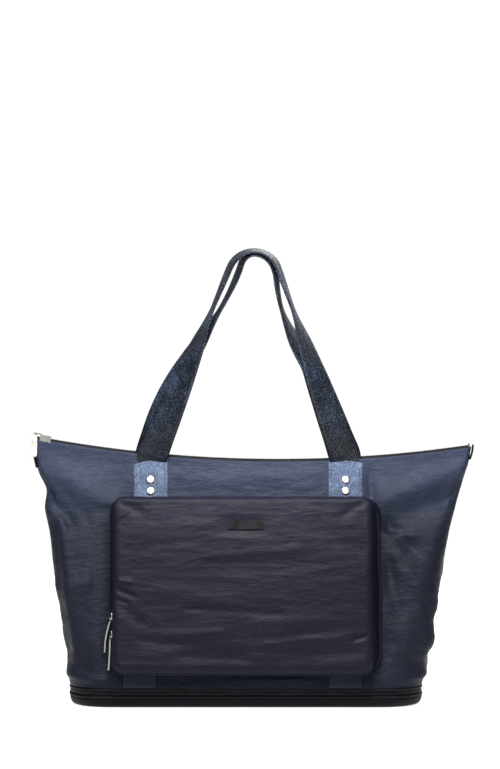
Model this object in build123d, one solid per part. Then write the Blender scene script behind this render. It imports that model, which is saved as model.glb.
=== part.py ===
from build123d import *

import math
import os

# Foldable tote bag: a tapered fabric body on a rounded base, closed by a zip that sags along its top
# edge, with an expansion zip round the base, a zipped pocket on the front and two webbing handles.
# Frame: origin at the centre of the base's underside, +X to the right seen from the front,
# the front faces -Y, +Z up. Millimetres.

# ---- driving dimensions ----
BASE_WIDTH = 409.0
BASE_DEPTH = 165.0
BASE_CORNER = 48.0
BAND_TOP = 22.5          # top of the base band that holds the expansion zip
RIM_Z = 292.0            # height at which the two faces have almost met
RIM_WIDTH = 508.0
RIM_DEPTH = 3.6
RIM_CORNER = 1.7
SLUMP = 8.0              # the soft body leans this far to the right at its rim
ZIP_LOW_Z = 283.5        # top of the zip where it hangs lowest
ZIP_LOW_X = 38.0         # and where that is: right of the middle, because the bag slumps
ZIP_RADIUS = 1513.0      # of the arc that the top edge hangs in
ZIP_LEFT_X = -248.0
ZIP_RIGHT_X = 263.0
WALL = 2.0               # padded outer fabric
LINING = 0.8
FIT = 0.3                # room between pieces that move past each other
SEAM = 0.2               # room between layers that are sewn together

WEBBING = 38.0           # width of the handle webbing
WEBBING_THICK = 1.8
HANDLE_THICK = 2.6
HANDLE_X = 113.5         # half the distance between a handle's two ends
HANDLE_SHIFT = 2.5       # the ends' middle lies this far to the right, and the arch HANDLE_LEAN
HANDLE_LEAN = 9.9
HANDLE_FOOT_Z = 284.5    # where a handle bends out of its tab
HANDLE_TOP_Z = 527.0
HANDLE_NEST = 4.6        # the back handle lies this far inside the front one

POCKET_WIDTH = 306.0
POCKET_LOW_Z = 36.0      # lowest and highest points of the pocket's front face
POCKET_HIGH_Z = 242.0
POCKET_DEEP = 28.0
POCKET_CORNER = 14.0
CLOTH = 1.8

# ---- worked out from them ----
HANDLE_ENDS = (HANDLE_SHIFT - HANDLE_X, HANDLE_SHIFT + HANDLE_X)
ZIP_CENTRE_Z = ZIP_LOW_Z + ZIP_RADIUS
HALF_DEPTH = BASE_DEPTH / 2
TAPER = (HALF_DEPTH - RIM_DEPTH / 2) / (RIM_Z - BAND_TOP)
LEAN = math.atan(TAPER)
WIDENING = (RIM_WIDTH - BASE_WIDTH) / (RIM_Z - BAND_TOP)
CORNER_LOSS = (BASE_CORNER - RIM_CORNER) / (RIM_Z - BAND_TOP)

# The front face is flat and leans back. Its own plane has x to the right, y up the face, z outwards.
FRONT = Plane(
    origin=(0, -HALF_DEPTH, BAND_TOP),
    x_dir=(1, 0, 0),
    z_dir=(0, -math.cos(LEAN), math.sin(LEAN)),
)


def up_face(z, out=0.0):
    """Distance up the front face, for a point at height z that stands `out` off the face."""
    return (z - BAND_TOP - out * math.sin(LEAN)) / math.cos(LEAN)


def half_depth_at(z):
    return HALF_DEPTH - TAPER * (z - BAND_TOP)


def to_back(piece):
    return mirror(piece, about=Plane.XZ)


def save(name, piece):
    piece.label = name
    export_step(piece, f"parts/{name}.step")


def block(x, y, z):
    """A box given by its (low, high) extents along each axis."""
    size = (x[1] - x[0], y[1] - y[0], z[1] - z[0])
    middle = ((x[0] + x[1]) / 2, (y[0] + y[1]) / 2, (z[0] + z[1]) / 2)
    return Pos(*middle) * Box(*size)


# ---- the base band ----
BASE_ROUND = 7.0
BASE_WALL = 2.6
BASE_WALL_TOP = 11.0
PIPING_RADIUS = 1.3
PIPING_INSET = 0.2
LOWER_PIPING_Z = 12.3
UPPER_PIPING_Z = 20.9
LOWER_TAPE = (11.2, 15.4)
LOWER_COIL = (15.4, 16.4)
UPPER_COIL = (16.7, 17.7)
UPPER_TAPE = (17.7, 21.9)
TAPE_INSET = (1.6, 2.6)
COIL_INSET = (0.6, 2.6)
PLEAT_INSET = (3.2, 11.0)
PLEAT_Z = (3.6, 20.5)


def base_outline(inset):
    return RectangleRounded(BASE_WIDTH - 2 * inset, BASE_DEPTH - 2 * inset, BASE_CORNER - inset)


def base_slab(inset, z):
    return Pos(0, 0, z[0]) * extrude(base_outline(inset), amount=z[1] - z[0])


def base_ring(inset, z):
    return base_slab(inset[0], z) - base_slab(inset[1], z)


def base_panel():
    tray = base_slab(0, (0, BASE_WALL_TOP))
    tray = fillet(tray.edges().group_by(Axis.Z)[0], radius=BASE_ROUND)
    return tray - base_slab(BASE_WALL, (WALL, BASE_WALL_TOP))


def piping(z):
    path = (Pos(0, 0, z) * base_outline(PIPING_INSET)).wire()
    section = Plane(origin=path @ 0, z_dir=path % 0) * Circle(PIPING_RADIUS)
    return sweep(section, path=path)


def make_base():
    save("base_panel", base_panel())
    save("lining_base", base_slab(PLEAT_INSET[0], (WALL + SEAM, WALL + SEAM + LINING)))
    save("lower_piping", piping(LOWER_PIPING_Z))
    save("upper_piping", piping(UPPER_PIPING_Z))
    save("expansion_tape_lower", base_ring(TAPE_INSET, LOWER_TAPE))
    save("expansion_coil_lower", base_ring(COIL_INSET, LOWER_COIL))
    save("expansion_coil_upper", base_ring(COIL_INSET, UPPER_COIL))
    save("expansion_tape_upper", base_ring(TAPE_INSET, UPPER_TAPE))
    save("expansion_gusset", base_ring(PLEAT_INSET, PLEAT_Z))


# ---- the expansion zip's slider, on the back, near its right end ----
EXPANSION_X = 130.0
SLIDER_LONG = 13.0
SLIDER_THICK = 2.0
SLIDER_HALF = 2.9
EXPANSION_MID_Z = (LOWER_COIL[1] + UPPER_COIL[0]) / 2
BAIL_LONG = 6.0
BAIL_THICK = 1.4
BAIL_HALF = 1.0
EXPANSION_PULL = (30.0, 1.6, 6.0)
PULL_GAP = 0.4


def around(middle, half):
    return (middle - half, middle + half)


def make_expansion_slider():
    plate_y = HALF_DEPTH - COIL_INSET[0] + FIT
    bail_y = plate_y + SLIDER_THICK
    plate = block(
        around(EXPANSION_X, SLIDER_LONG / 2),
        (plate_y, bail_y),
        around(EXPANSION_MID_Z, SLIDER_HALF),
    )
    plate = fillet(plate.edges().filter_by(Axis.Y), radius=1.8)
    bail = block(
        (EXPANSION_X, EXPANSION_X + BAIL_LONG),
        (bail_y, bail_y + BAIL_THICK),
        around(EXPANSION_MID_Z, BAIL_HALF),
    )
    save("expansion_slider", plate + bail)
    start = EXPANSION_X + BAIL_LONG + PULL_GAP
    pull_y = bail_y + SEAM
    pull = block(
        (start, start + EXPANSION_PULL[0]),
        (pull_y, pull_y + EXPANSION_PULL[1]),
        around(EXPANSION_MID_Z, EXPANSION_PULL[2] / 2),
    )
    pull = fillet(pull.edges().filter_by(Axis.Y), radius=2.4)
    save("expansion_puller", pull)


# ---- the body: a tapered loft with a thin upright band along the top zip ----
ROOF_DROP = 22.0         # the tapered part ends this far below the zip line
HEM_DROP = 7.0           # the outer fabric stops here and only the zip tape goes on
HEM_Y = (3.6, 5.0)
HEM_SHORT = 2.0          # how far the hem, the tapes and the coil end before the top edge does
TAPE_SHORT = 1.0
COIL_SHORT = 4.5
TAPE_Y = (0.4, 3.4)
COIL_HALF = 2.4
COIL_TALL = 2.3
LINING_IN = WALL + FIT
LINING_DROP = 30.0       # the lining is sewn on below the roof, between the two rows of rivets
INNER_TOP = 6.0          # the space inside the body is lofted to this far under its rim
LINING_TOP = (8.0, 10.0)
SHARPEST_CORNER = 0.3
LONG = 700.0             # longer than the bag, for cutting


def body_section(z, inset):
    rise = z - BAND_TOP
    width = BASE_WIDTH + WIDENING * rise - 2 * inset
    depth = BASE_DEPTH - 2 * TAPER * rise - 2 * inset
    corner = BASE_CORNER - CORNER_LOSS * rise - inset
    slumped = SLUMP * rise / (RIM_Z - BAND_TOP)
    return Pos(slumped, 0, z) * RectangleRounded(width, depth, max(corner, SHARPEST_CORNER))


def body_loft(inset, top_z, drop):
    """The tapered body pulled in by `inset`, cut off along the zip's arc `drop` below the zip."""
    across = inset / math.cos(LEAN)
    tapered = loft([body_section(BAND_TOP, across), body_section(top_z, across)], ruled=True)
    above = Pos(ZIP_LOW_X, 0, ZIP_CENTRE_Z) * Rot(90, 0, 0) * Cylinder(ZIP_RADIUS + drop, LONG)
    return tapered - above


def arc_z(x, drop):
    return ZIP_CENTRE_Z - math.sqrt((ZIP_RADIUS + drop) ** 2 - (x - ZIP_LOW_X) ** 2)


def zip_arc(x_from, x_to, drop):
    ends = [(x, arc_z(x, drop)) for x in (x_from, ZIP_LOW_X, x_to)]
    return ThreePointArc(*ends)


def zip_band(drops, y, ends):
    """A band along the zip's arc, between two depths below the zip line, and cut off at two places in X."""
    high, low = drops
    left, right = ends
    outline = [
        zip_arc(left, right, high),
        Line((right, arc_z(right, high)), (right, arc_z(right, low))),
        zip_arc(right, left, low),
        Line((left, arc_z(left, low)), (left, arc_z(left, high))),
    ]
    return Pos(0, y[1], 0) * extrude(Plane.XZ * make_face(outline), amount=y[1] - y[0])


def zip_ends(inset):
    return (ZIP_LEFT_X + inset, ZIP_RIGHT_X - inset)


def front_half(piece):
    return piece & block((-LONG, LONG), (-LONG, 0), (-LONG, LONG))


RIVET_Z = (246.0, 258.8)
RIVET_CAP = 4.75
RIVET_HOLE = 1.7
RIVET_POST = 1.5
HOLE_DEEP = 14.0


def rivet_spots():
    return [(x, up_face(z)) for x in HANDLE_ENDS for z in RIVET_Z]


def drilled(piece):
    for x, y in rivet_spots():
        piece = piece - FRONT * Pos(x, y, 0) * Cylinder(RIVET_HOLE, HOLE_DEEP)
    return piece


def make_body():
    outer = body_loft(0, RIM_Z, ROOF_DROP)
    inner = body_loft(WALL, RIM_Z - INNER_TOP, ROOF_DROP + WALL)
    slot = block(zip_ends(0), (-HEM_Y[0], HEM_Y[0]), (ZIP_LOW_Z - ROOF_DROP - 2 * WALL, LONG))
    shell = outer - inner - slot
    hem = zip_band((HEM_DROP, ROOF_DROP), (-HEM_Y[1], -HEM_Y[0]), zip_ends(HEM_SHORT))
    panel = drilled(front_half(shell)) + hem
    save("front_panel", panel)
    save("back_panel", to_back(panel))
    outside = body_loft(LINING_IN, RIM_Z - LINING_TOP[0], LINING_DROP)
    cloth = outside - body_loft(LINING_IN + LINING, RIM_Z - LINING_TOP[1], 0)
    front_cloth = drilled(front_half(cloth))
    save("lining", front_cloth + to_back(front_cloth))


# ---- the top zip ----
TOP_SLIDER_X = -233.5
TOP_PULL_X = -247.0
TOP_PULL_RISE = 0.6      # its hinge line is this far over the zip line
TOP_PULL_LONG = 26.0
TOP_PULL_WIDE = 7.6
TOP_PULL_THICK = 1.6
TOP_PULL_Y = -9.0
CAP_HALF = 5.2           # the slider's cap over the coil, and the flanks that reach down beside it
CAP_TOP = 2.0
ARM = (1.8, 3.2)         # heights of the arm that carries the puller out to the front
ARM_HALF = 1.2
STOP_SHORT = 3.2
STOP_HALF = 2.2
END_TAB_HALF = 5.0
END_TAB_THICK = 2.4
LEFT_TAB_LOW_Z = 271.0
RIGHT_TAB_LOW_Z = 287.0


def at_zip(x, piece):
    """Sets a piece whose origin is on the zip line at the place x along the zip's arc."""
    turn = math.degrees(math.asin((x - ZIP_LOW_X) / ZIP_RADIUS))
    return Pos(ZIP_LOW_X, 0, ZIP_CENTRE_Z) * Rot(0, -turn, 0) * Pos(0, 0, -ZIP_RADIUS) * piece


def top_slider():
    half = SLIDER_LONG / 2
    piece = block((-half, half), (-CAP_HALF, CAP_HALF), (FIT, CAP_TOP))
    for side in (-1, 1):
        near, far = sorted((side * (TAPE_Y[1] + FIT), side * CAP_HALF))
        piece = piece + block((-half, half), (near, far), (-CAP_HALF, FIT))
    reach = TOP_PULL_X - TOP_SLIDER_X
    piece = piece + block((reach - 1, SLIDER_THICK - half), (-ARM_HALF, ARM_HALF), ARM)
    return piece + block((reach - 1, reach + 1), (TOP_PULL_Y, 0), ARM)


def top_puller():
    top_z = arc_z(TOP_PULL_X, 0) + TOP_PULL_RISE
    strip = block(
        (-TOP_PULL_WIDE / 2, TOP_PULL_WIDE / 2),
        (-TOP_PULL_THICK / 2, TOP_PULL_THICK / 2),
        (-TOP_PULL_LONG, 0),
    )
    strip = fillet(strip.edges().filter_by(Axis.Y), radius=3.0)
    hang = Pos(TOP_PULL_X, TOP_PULL_Y, top_z) * Rot(-math.degrees(LEAN), 0, 0)
    return hang * strip


def end_tab(end_x, outer_x, low_z):
    x = sorted((end_x, outer_x))
    tab = block(x, (-END_TAB_HALF, END_TAB_HALF), (low_z, arc_z(end_x, COIL_TALL)))
    return fillet(tab.edges().filter_by(Axis.X), radius=2.0)


def make_top_zip():
    tape = zip_band((COIL_TALL, ROOF_DROP - 2 * SEAM), (-TAPE_Y[1], -TAPE_Y[0]), zip_ends(TAPE_SHORT))
    save("top_zip_tape_front", tape)
    save("top_zip_tape_back", to_back(tape))
    save("top_zip_coil", zip_band((0, COIL_TALL), (-COIL_HALF, COIL_HALF), zip_ends(COIL_SHORT)))
    stop = block((-1, 1), (-STOP_HALF, STOP_HALF), (-STOP_HALF, 1))
    stops = [at_zip(x, stop) for x in zip_ends(STOP_SHORT)]
    save("top_zip_stops", Compound(children=stops))
    save("zip_end_tab_left", end_tab(ZIP_LEFT_X, ZIP_LEFT_X - END_TAB_THICK, LEFT_TAB_LOW_Z))
    save("zip_end_tab_right", end_tab(ZIP_RIGHT_X, ZIP_RIGHT_X + END_TAB_THICK, RIGHT_TAB_LOW_Z))
    save("top_slider", at_zip(TOP_SLIDER_X, top_slider()))
    save("top_puller", top_puller())


# ---- straps and rivets that hold the handles ----
STRAP_LOW = 0.5          # distance up the face from the piping to the strap's lower end
STRAP_OUT = (0.15, 0.15 + WEBBING_THICK)
STRAP_BEND_Z = 280.0     # here the strap leaves the sloping face and stands upright
STRAP_TOP_Z = 286.1
STRAP_UPRIGHT_Y = (-7.4, -5.5)
RIVET_TALL = 2.0
RIVET_SINK = 0.05
WASHER_RADIUS = 2.6
WASHER_THICK = 1.0


def strap(x):
    side = around(x, WEBBING / 2)
    run = FRONT * block(side, (STRAP_LOW, up_face(STRAP_BEND_Z)), STRAP_OUT)
    return run + block(side, STRAP_UPRIGHT_Y, (STRAP_BEND_Z - 2 * FIT, STRAP_TOP_Z))


def rivet_cap(out):
    cap = Pos(0, 0, out + RIVET_TALL / 2) * Cylinder(RIVET_CAP, RIVET_TALL)
    return fillet(cap.edges().group_by(Axis.Z)[-1], radius=1.5)


def make_handle_mounts():
    for side, x in zip(("left", "right"), HANDLE_ENDS):
        piece = drilled(strap(x))
        save(f"strap_front_{side}", piece)
        save(f"strap_back_{side}", to_back(piece))
    washer_out = -(LINING_IN + LINING + SEAM + WASHER_THICK / 2)
    post = (washer_out - WASHER_THICK / 2, STRAP_OUT[1] + SEAM)
    rivets = []
    washers = []
    for x, y in rivet_spots():
        shank = Pos(0, 0, sum(post) / 2) * Cylinder(RIVET_POST, post[1] - post[0])
        rivets.append(FRONT * Pos(x, y, 0) * (shank + rivet_cap(STRAP_OUT[1] + RIVET_SINK)))
        washer = Cylinder(WASHER_RADIUS, WASHER_THICK) - Cylinder(RIVET_HOLE, 2 * WASHER_THICK)
        washers.append(FRONT * Pos(x, y, washer_out) * washer)
    save("rivets_front", Compound(children=rivets))
    save("rivets_back", Compound(children=[to_back(r) for r in rivets]))
    save("rivet_washers_front", Compound(children=washers))
    save("rivet_washers_back", Compound(children=[to_back(w) for w in washers]))


# ---- the handles: flat webbing that twists a quarter turn on its way up ----
ARCH_RADIUS = 30.0
LEG_STATIONS = 12
ARCH_STATIONS = 8
HANDLE_Y = half_depth_at(HANDLE_FOOT_Z) + 2.4
FOOT_GAP = 2.0           # the webbing starts this far over the line it swings about


def leg_geometry(arch):
    """Length and slant of a straight leg from the foot to a circle of radius `arch`."""
    centre_z = HANDLE_TOP_Z - HANDLE_THICK / 2 - ARCH_RADIUS
    rise = centre_z - HANDLE_FOOT_Z
    reach = math.hypot(HANDLE_X, rise)
    slant = math.atan2(HANDLE_X, rise) - math.asin(arch / reach)
    return centre_z, math.sqrt(reach**2 - arch**2), slant


def webbing_section(point, along, across):
    plane = Plane(origin=point, x_dir=across, z_dir=along)
    return plane * Rectangle(WEBBING, HANDLE_THICK)


def leaned(x, z):
    """The handle leans to the right on its way up, from the middle of its ends to its arch."""
    risen = (z - HANDLE_FOOT_Z) / (HANDLE_TOP_Z - HANDLE_FOOT_Z)
    return x + HANDLE_SHIFT + (HANDLE_LEAN - HANDLE_SHIFT) * risen


def leg_stations(arch, side):
    """Place, direction and width direction of the right leg's sections, from its foot to the arch."""
    _, leg, slant = leg_geometry(arch)
    along = (-math.sin(slant), 0, math.cos(slant))
    foot = (HANDLE_X, side * HANDLE_Y, HANDLE_FOOT_Z + FOOT_GAP)
    stations = [(foot, (0, 0, 1), (1, 0, 0))]
    for step in range(1, LEG_STATIONS + 1):
        share = step / LEG_STATIONS
        twist = math.pi / 2 * math.sin(math.pi / 2 * share)
        point = (
            HANDLE_X - share * leg * math.sin(slant),
            side * HANDLE_Y * (1 - share),
            HANDLE_FOOT_Z + share * leg * math.cos(slant),
        )
        across = (math.cos(twist) * math.cos(slant), math.sin(twist), math.cos(twist) * math.sin(slant))
        stations.append((point, along, across))
    return stations


def handle(arch, side):
    """Webbing that faces forward at its feet and edge-on at the top; side is -1 in front, 1 behind."""
    centre_z, _, slant = leg_geometry(arch)
    right_leg = leg_stations(arch, side)
    sections = [
        webbing_section((leaned(point[0], point[2]), point[1], point[2]), along, across)
        for point, along, across in right_leg
    ]
    for step in range(1, ARCH_STATIONS):
        angle = slant + (math.pi - 2 * slant) * step / ARCH_STATIONS
        z = centre_z + arch * math.sin(angle)
        point = (leaned(arch * math.cos(angle), z), 0, z)
        sections.append(webbing_section(point, (-math.sin(angle), 0, math.cos(angle)), (0, 1, 0)))
    for point, along, across in reversed(right_leg):
        mirrored = (leaned(-point[0], point[2]), point[1], point[2])
        down = (along[0], 0, -along[2])
        sections.append(webbing_section(mirrored, down, (-across[0], across[1], across[2])))
    return loft(sections, ruled=True)


def make_handles():
    save("handle_front", handle(ARCH_RADIUS, -1))
    save("handle_back", handle(ARCH_RADIUS - HANDLE_NEST, 1))


# ---- the front pocket ----
POCKET_LOW = up_face(POCKET_LOW_Z, POCKET_DEEP)
POCKET_TALL = up_face(POCKET_HIGH_Z, POCKET_DEEP) - POCKET_LOW
POCKET_MID = POCKET_LOW + POCKET_TALL / 2
ZIP_END = POCKET_LOW + POCKET_CORNER
GUSSET_OUT = (0.15, 12.0)
REAR_TAPE_OUT = (12.0, 14.4)
REAR_COIL_OUT = (14.4, 15.2)
FRONT_COIL_OUT = (15.5, 16.3)
FRONT_TAPE_OUT = (16.3, 18.6)
DOOR_OUT = (18.6, POCKET_DEEP)


def pocket_slab(inset, out):
    outline = RectangleRounded(POCKET_WIDTH - 2 * inset, POCKET_TALL - 2 * inset, POCKET_CORNER - inset)
    return Pos(0, POCKET_MID, out[0]) * extrude(outline, amount=out[1] - out[0])


def pocket_ring(insets, out):
    return pocket_slab(insets[0], out) - pocket_slab(insets[1], out)


def zip_run(piece):
    """The pocket's zip goes up one side, over the top and down the other, but not along the bottom."""
    return piece & block((-LONG, LONG), (ZIP_END, LONG), (0, LONG))


def bottom_run(out):
    """The cloth under the zip's two ends, where the pocket's front turns on its bottom seam."""
    return pocket_ring((0, CLOTH), out) & block((-LONG, LONG), (0, ZIP_END - SEAM / 2), (0, LONG))


TAPE_INSETS = (0.3, 1.5)
COIL_INSETS = (0.0, 1.5)
BADGE = (42.0, 10.0, 1.6)
BADGE_Z = 210.0
PRONG_X = 15.0
PRONG_RADIUS = 1.0
PRONG_HOLE = 1.2
PRONG_REACH = 3.4        # the prongs end this far behind the pocket's outer face
BADGE_SINK = 0.05
BADGE_WASHER_THICK = 1.2


def make_badge(door):
    """Saves the plate and its washer, and gives back the pocket's front with the prongs' holes."""
    y = up_face(BADGE_Z, POCKET_DEEP)
    plate = Pos(0, y, POCKET_DEEP + BADGE_SINK + BADGE[2] / 2) * Box(*BADGE)
    plate = fillet(plate.edges().filter_by(Axis.Z), radius=2.0)
    washer_out = POCKET_DEEP - CLOTH - BADGE_SINK - BADGE_WASHER_THICK / 2
    washer = Pos(0, y, washer_out) * Box(BADGE[0] - 4, BADGE[1] - 2, BADGE_WASHER_THICK)
    prong = (POCKET_DEEP - PRONG_REACH, POCKET_DEEP + BADGE[2] / 2)
    for x in (-PRONG_X, PRONG_X):
        at = Pos(x, y, sum(prong) / 2)
        hole = at * Cylinder(PRONG_HOLE, 2 * POCKET_DEEP - 2 * prong[0])
        door = door - hole
        washer = washer - hole
        plate = plate + at * Cylinder(PRONG_RADIUS, prong[1] - prong[0])
    save("badge_plate", FRONT * plate)
    save("badge_washer", FRONT * washer)
    return door


def make_pocket():
    gusset = pocket_ring((0, CLOTH), GUSSET_OUT)
    for x in HANDLE_ENDS:
        side = around(x, WEBBING / 2 + FIT)
        gusset = gusset - block(side, (0, LONG), (0, STRAP_OUT[1] + SEAM))
    save("pocket_gusset", FRONT * (gusset + bottom_run((GUSSET_OUT[1], REAR_COIL_OUT[1]))))
    save("pocket_zip_tape_rear", FRONT * zip_run(pocket_ring(TAPE_INSETS, REAR_TAPE_OUT)))
    save("pocket_coil_rear", FRONT * zip_run(pocket_ring(COIL_INSETS, REAR_COIL_OUT)))
    save("pocket_coil_front", FRONT * zip_run(pocket_ring(COIL_INSETS, FRONT_COIL_OUT)))
    save("pocket_zip_tape_front", FRONT * zip_run(pocket_ring(TAPE_INSETS, FRONT_TAPE_OUT)))
    door = pocket_slab(0, DOOR_OUT) - pocket_slab(CLOTH, (DOOR_OUT[0], POCKET_DEEP - CLOTH))
    door = fillet(door.edges().group_by(Axis.Z)[-1], radius=1.2)
    door = door + bottom_run((FRONT_COIL_OUT[0], DOOR_OUT[0]))
    save("pocket_front", FRONT * make_badge(door))


POCKET_SIDE_X = -POCKET_WIDTH / 2
POCKET_SLIDERS = {"upper": (105.0, 5.0), "lower": (85.0, 0.6)}   # height, how far the pull leans out
PULL_LONG = 36.0
PULL_WIDE = 5.0
PULL_THICK = 1.6
PULL_KNEE = 0.55         # share of the pull's length at which it stops leaning out
PULL_HOOK = 1.2
PLATE_THICK = 2.6
PLATE_HALF = (4.5, 4.0)  # along the zip, and across it
KNOB_REACH = 1.8
KNOB_LOW = (3.5, 1.5)    # the knob's ends, below the plate's middle
KNOB_HALF = 1.5
PIVOT_REACH = 1.4
PIVOT_LOW = 5.0


def pocket_puller(pivot, lean_out):
    """A slim strip with a slight S bend that hangs from the slider on the pocket's left side."""
    half = PULL_THICK / 2
    line = [
        (pivot.X, pivot.Z),
        (pivot.X - lean_out, pivot.Z - PULL_LONG * PULL_KNEE),
        (pivot.X - lean_out - PULL_HOOK, pivot.Z - PULL_LONG),
    ]
    left = [(x - half, z) for x, z in line]
    right = [(x + half, z) for x, z in reversed(line)]
    outline = [Spline(*left), Line(left[-1], right[0]), Spline(*right), Line(right[-1], left[0])]
    strip = extrude(Plane.XZ * make_face(outline), amount=PULL_WIDE)
    return Pos(0, pivot.Y + PULL_WIDE / 2, 0) * strip


def make_pocket_sliders():
    out = (REAR_COIL_OUT[1] + FRONT_COIL_OUT[0]) / 2
    inner_x = POCKET_SIDE_X - FIT
    outer_x = inner_x - PLATE_THICK
    for name, (z, lean_out) in POCKET_SLIDERS.items():
        up = up_face(z, out)
        plate = block((outer_x, inner_x), around(up, PLATE_HALF[0]), around(out, PLATE_HALF[1]))
        plate = fillet(plate.edges().filter_by(Axis.X), radius=2.0)
        knob_up = (up - KNOB_LOW[0], up - KNOB_LOW[1])
        knob = block((outer_x - KNOB_REACH, outer_x), knob_up, around(out, KNOB_HALF))
        save(f"pocket_slider_{name}", FRONT * (plate + knob))
        pivot = FRONT.from_local_coords((outer_x - PIVOT_REACH, up - PIVOT_LOW, out))
        save(f"pocket_puller_{name}", pocket_puller(pivot, lean_out))


def main():
    os.makedirs("parts", exist_ok=True)
    make_base()
    make_expansion_slider()
    make_body()
    make_top_zip()
    make_handle_mounts()
    make_handles()
    make_pocket()
    make_pocket_sliders()


main()
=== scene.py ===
import math

import bmesh
import bpy
import numpy as np
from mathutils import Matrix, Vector, noise


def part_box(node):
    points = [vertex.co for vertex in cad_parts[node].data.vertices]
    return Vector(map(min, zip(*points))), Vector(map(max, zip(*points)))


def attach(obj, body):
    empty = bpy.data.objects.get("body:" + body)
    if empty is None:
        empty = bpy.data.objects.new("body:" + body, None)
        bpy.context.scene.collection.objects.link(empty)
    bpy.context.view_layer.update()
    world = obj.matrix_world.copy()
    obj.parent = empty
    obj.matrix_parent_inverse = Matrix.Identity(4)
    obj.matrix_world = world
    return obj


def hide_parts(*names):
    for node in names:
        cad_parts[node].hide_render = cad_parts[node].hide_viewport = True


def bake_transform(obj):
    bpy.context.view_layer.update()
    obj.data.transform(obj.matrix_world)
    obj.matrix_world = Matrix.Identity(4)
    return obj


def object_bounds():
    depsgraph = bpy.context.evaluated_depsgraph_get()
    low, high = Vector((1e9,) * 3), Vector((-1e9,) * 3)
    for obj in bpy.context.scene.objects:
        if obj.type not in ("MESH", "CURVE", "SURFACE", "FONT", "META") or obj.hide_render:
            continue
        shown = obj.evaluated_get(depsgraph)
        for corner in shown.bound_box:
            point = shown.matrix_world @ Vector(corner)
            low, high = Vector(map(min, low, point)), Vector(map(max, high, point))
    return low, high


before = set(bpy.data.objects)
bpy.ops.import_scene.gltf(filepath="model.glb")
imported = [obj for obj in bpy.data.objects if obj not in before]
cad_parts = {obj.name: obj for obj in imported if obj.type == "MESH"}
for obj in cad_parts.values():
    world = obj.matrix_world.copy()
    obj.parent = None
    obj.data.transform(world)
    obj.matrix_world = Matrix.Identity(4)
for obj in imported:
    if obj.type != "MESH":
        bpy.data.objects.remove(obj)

# A foldable tote bag of crinkled nylon: a soft body that sags from a zip, a padded pocket with its own
# zip, webbing handles that twist on their way up, and a base band with an expansion zip.
# Lengths are in millimetres until a mesh is made, in the CAD frame: +X right, -Y front, +Z up.

CAD_BOX = [list(corner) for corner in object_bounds()]
MM = 0.001


# ---- camera: a little above the bag, and far enough away that nothing near looks bigger ----
CAMERA_FAR_MM = 8000.0
CAMERA_RISE = math.radians(4.0)
AIM = (4.7, 0.0, 369.6)
IMAGE_TALL_MM = 896.0        # how much of the bag's plane the image's longer side takes in


def add_camera():
    data = bpy.data.cameras.new("camera")
    data.sensor_width = 36.0
    data.lens = data.sensor_width * CAMERA_FAR_MM / IMAGE_TALL_MM
    data.clip_end = 100.0
    camera = bpy.data.objects.new("camera", data)
    bpy.context.collection.objects.link(camera)
    away = Vector((0, -math.cos(CAMERA_RISE), math.sin(CAMERA_RISE)))
    camera.location = (Vector(AIM) + away * CAMERA_FAR_MM) * MM
    camera.rotation_euler = (-away).to_track_quat("-Z", "Y").to_euler()
    bpy.context.scene.camera = camera


add_camera()

# ---- the bag's own dimensions, as the CAD has them ----
BASE_HALF, BASE_DEEP = (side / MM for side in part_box("base_panel")[1][:2])
BASE_CORNER = 48.0
BAND_TOP = 22.5
RIM_Z = 292.0
RIM_HALF = 254.0
RIM_DEEP = 1.8
SLUMP = 8.0
TAPER = (BASE_DEEP - RIM_DEEP) / (RIM_Z - BAND_TOP)
LEAN = math.atan(TAPER)
OUT_OF_FACE = np.array([0, -math.cos(LEAN), math.sin(LEAN)])
ZIP_LOW_Z = 283.5
ZIP_LOW_X = 38.0
ZIP_RADIUS = 1513.0
ZIP_LEFT_X = -248.0
ZIP_RIGHT_X = 263.0
WEBBING = 38.0
HANDLE_HALF = 113.5
HANDLE_SHIFT = 2.5
HANDLE_LEAN = 9.9
HANDLE_ENDS = (HANDLE_SHIFT - HANDLE_HALF, HANDLE_SHIFT + HANDLE_HALF)


def arc_z(x, drop=0.0):
    """Height of the zip's arc at x, `drop` below the zip line: a circle about a point high above."""
    return ZIP_LOW_Z + ZIP_RADIUS - np.sqrt((ZIP_RADIUS + drop) ** 2 - (np.asarray(x) - ZIP_LOW_X) ** 2)


def on_face(x, v, w):
    """A point at x, v up the leaning front face and w out from it."""
    sin, cos = math.sin(LEAN), math.cos(LEAN)
    x, v, w = np.broadcast_arrays(np.asarray(x, float), v, w)
    return np.stack([x, -BASE_DEEP + v * sin - w * cos, BAND_TOP + v * cos + w * sin], axis=-1)


def up_face(z, w=0.0):
    return (z - BAND_TOP - w * math.sin(LEAN)) / math.cos(LEAN)


def smooth(t):
    t = np.clip(t, 0, 1)
    return t * t * (3 - 2 * t)


def cloth_noise(points, size, seed):
    """Smooth noise between -1 and 1 at each point; size is the wavelength along X, Y and Z."""
    shift = Vector((seed * 7.13, seed * 3.71, seed * 5.37))
    scaled = np.asarray(points).reshape(-1, 3) / np.asarray(size, float)
    values = [noise.noise(Vector(p) + shift) for p in scaled]
    return np.array(values).reshape(np.asarray(points).shape[:-1])


def unit(vectors):
    return vectors / np.linalg.norm(vectors, axis=-1)[..., None]


# ---- mesh helpers ----
def make_object(name, verts, faces, uvs=None):
    mesh = bpy.data.meshes.new(name)
    mesh.from_pydata((np.asarray(verts) * MM).tolist(), [], faces)
    if uvs is not None:
        layer = mesh.uv_layers.new(name="cloth")
        index = np.empty(len(mesh.loops), np.int32)
        mesh.loops.foreach_get("vertex_index", index)
        layer.data.foreach_set("uv", np.asarray(uvs, np.float32)[index].ravel())
    mesh.validate()
    mesh.polygons.foreach_set("use_smooth", [True] * len(mesh.polygons))
    piece = bpy.data.objects.new(name, mesh)
    bpy.context.collection.objects.link(piece)
    return piece


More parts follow.
